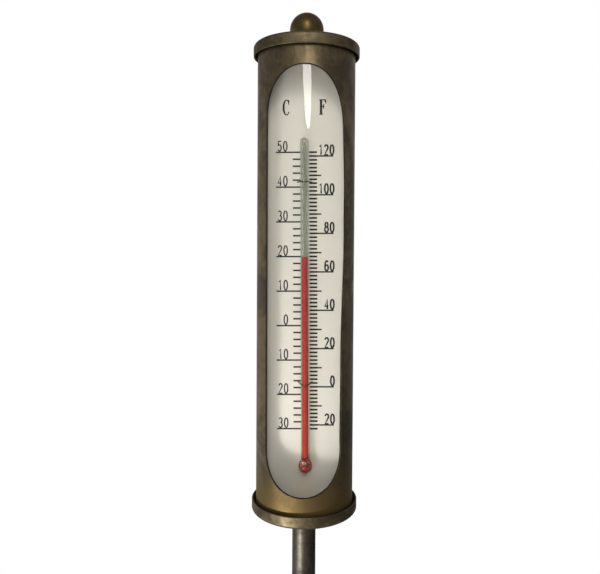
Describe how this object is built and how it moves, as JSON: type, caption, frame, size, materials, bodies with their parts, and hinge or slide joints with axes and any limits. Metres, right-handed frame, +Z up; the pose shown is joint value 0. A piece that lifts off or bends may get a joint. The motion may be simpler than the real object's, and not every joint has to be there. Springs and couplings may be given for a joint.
{
  "type": "garden stake thermometer",
  "caption": "Round glazed brass housing on a long stake, with a printed scale card, a red spirit stem, lift-off cap and screw-on ball finial.",
  "frame": {"origin": "point of the stake, on the stake's axis", "axes": "+Z up along the stake; the window faces -Y; +X is to the right of a reader in front of the window"},
  "size_m": [0.076, 0.076, 1.1436],
  "materials": {
    "housing_brass": "antique patina, satin, mottled olive brown",
    "stake_brass": "antique patina, satin, dark",
    "plated_steel": "zinc plated, satin",
    "window_glass": "clear drawn glass tube",
    "stem_glass": "clear glass",
    "scale_card": "cream enamel, black print, satin",
    "red_spirit": "dyed liquid",
    "dark_wire": "annealed, dark",
    "seal_rubber": "matt",
    "fibre": "vulcanised fibre, matt"
  },
  "bodies": {
    "stake": {"stake_tube": "stake_brass", "stake_plug": "plated_steel", "stake_point": "stake_brass"},
    "head_washer": {"head_washer": "fibre"},
    "head": {"bottom_cap": "housing_brass", "bottom_seal": "seal_rubber", "casing": "housing_brass", "glass_sleeve": "window_glass", "coupling_nut": "plated_steel", "tie_rod": "plated_steel", "lower_jam_nut": "plated_steel", "upper_jam_nut": "plated_steel", "lower_bracket": "plated_steel", "upper_bracket": "plated_steel", "plate_rivet_1": "plated_steel", "plate_rivet_2": "plated_steel", "plate_rivet_3": "plated_steel", "plate_rivet_4": "plated_steel", "scale_plate": "scale_card", "stem_glass": "stem_glass", "bulb_spirit": "red_spirit", "wire_clip_lower": "dark_wire", "wire_clip_upper": "dark_wire"},
    "spirit": {"spirit_column": "red_spirit"},
    "lid": {"top_cap": "housing_brass", "top_seal": "seal_rubber"},
    "finial_washer": {"finial_washer": "plated_steel"},
    "finial": {"finial_ball": "housing_brass"}
  },
  "joints": [
    {"name": "head_rise", "type": "slide", "parent": "stake", "child": "head_washer", "axis": [0, 0, 1], "range_m": [0, 0.00751]},
    {"name": "head_turn", "type": "hinge", "parent": "head_washer", "child": "head", "pos_m": [0, 0, 0.786], "axis": [0, 0, 1], "range_deg": [0, 2160]},
    {"name": "spirit_rise", "type": "slide", "parent": "head", "child": "spirit", "axis": [-0.0087, 0, 1], "range_m": [-0.12166, 0.07378], "deforming": ["spirit_column"]},
    {"name": "lid_lift", "type": "slide", "parent": "head", "child": "lid", "axis": [0, 0, 1], "range_m": [0, 0.03]},
    {"name": "finial_rise", "type": "slide", "parent": "lid", "child": "finial_washer", "axis": [0, 0, 1], "range_m": [0, 0.00801]},
    {"name": "finial_turn", "type": "hinge", "parent": "finial_washer", "child": "finial", "pos_m": [0, 0, 1.1314], "axis": [0, 0, 1], "range_deg": [0, 2880]}
  ],
  "couplings": [
    {"joint": "head_rise", "follows": "head_turn", "m_per_rad": 0.00019894},
    {"joint": "finial_rise", "follows": "finial_turn", "m_per_rad": 0.00015915}
  ]
}
